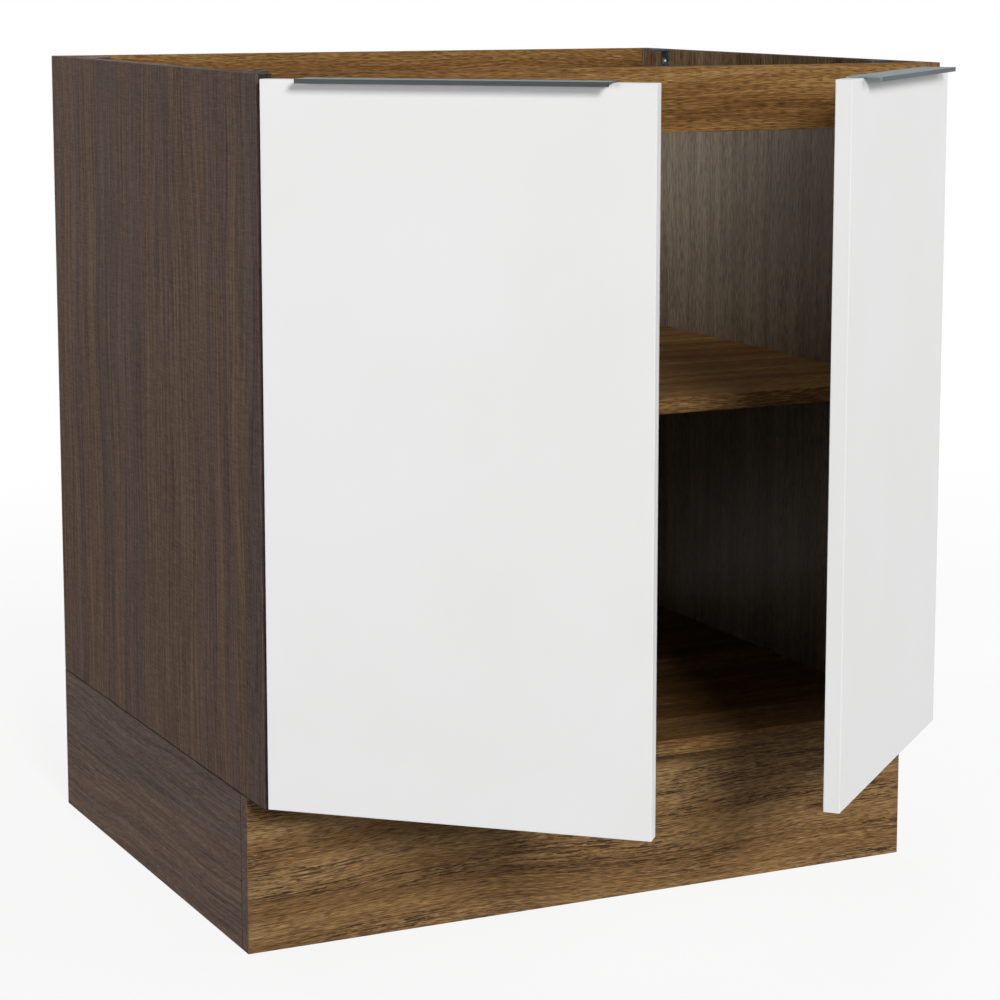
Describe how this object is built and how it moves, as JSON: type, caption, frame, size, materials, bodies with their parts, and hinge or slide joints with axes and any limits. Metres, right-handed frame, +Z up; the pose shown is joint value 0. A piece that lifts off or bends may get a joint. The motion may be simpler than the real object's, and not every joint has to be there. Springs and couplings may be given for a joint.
{
  "type": "kitchen base cabinet",
  "caption": "Open-topped kitchen base cabinet on a recessed plinth, with overlay doors on concealed hinges, edge-pull handles and a middle shelf.",
  "frame": {"origin": "on the floor, at the middle of the plinth front board's underside", "axes": "+X to the right seen from the front, +Y to the back, +Z up"},
  "size_m": [0.7016, 0.8259, 0.795],
  "materials": {
    "wood_laminate": "matt wood-grain laminate on particleboard",
    "hardboard": "embossed hardboard",
    "white_lacquer": "matt white faced board",
    "handle_aluminium": "brushed and anodised",
    "zinc_steel": "zinc plated",
    "block_plastic": "moulded",
    "beech": "fluted dowel, plain here"
  },
  "bodies": {
    "carcass": {"left_side_panel": "wood_laminate", "right_side_panel": "wood_laminate", "bottom_panel": "wood_laminate", "front_top_rail": "wood_laminate", "rear_top_rail": "wood_laminate", "shelf": "wood_laminate", "back_panel": "hardboard", "back_panel_nails": "zinc_steel", "plinth_front_board": "wood_laminate", "plinth_rear_board": "wood_laminate", "plinth_left_board": "wood_laminate", "plinth_right_board": "wood_laminate", "plinth_corner_blocks": "block_plastic", "plinth_block_screws": "zinc_steel", "cam_bolts": "zinc_steel", "cam_locks": "zinc_steel", "dowels": "beech", "shelf_pins": "zinc_steel", "worktop_brackets": "zinc_steel", "worktop_bracket_screws": "zinc_steel", "hinge_plates": "zinc_steel", "hinge_plate_screws": "zinc_steel", "hinge_arms": "zinc_steel", "hinge_arm_screws": "zinc_steel"},
    "left_door": {"left_door": "white_lacquer", "left_handle": "handle_aluminium", "left_handle_screws": "zinc_steel", "left_hinge_cups": "zinc_steel", "left_hinge_pins": "zinc_steel", "left_cup_screws": "zinc_steel"},
    "right_door": {"right_door": "white_lacquer", "right_handle": "handle_aluminium", "right_handle_screws": "zinc_steel", "right_hinge_cups": "zinc_steel", "right_hinge_pins": "zinc_steel", "right_cup_screws": "zinc_steel"}
  },
  "joints": [
    {"name": "left_door_swing", "type": "hinge", "parent": "carcass", "child": "left_door", "pos_m": [-0.342, -0.063, 0.471], "axis": [0, 0, -1], "range_deg": [-42, 53]},
    {"name": "right_door_swing", "type": "hinge", "parent": "carcass", "child": "right_door", "pos_m": [0.342, -0.063, 0.471], "axis": [0, 0, 1], "range_deg": [-42, 53]}
  ]
}
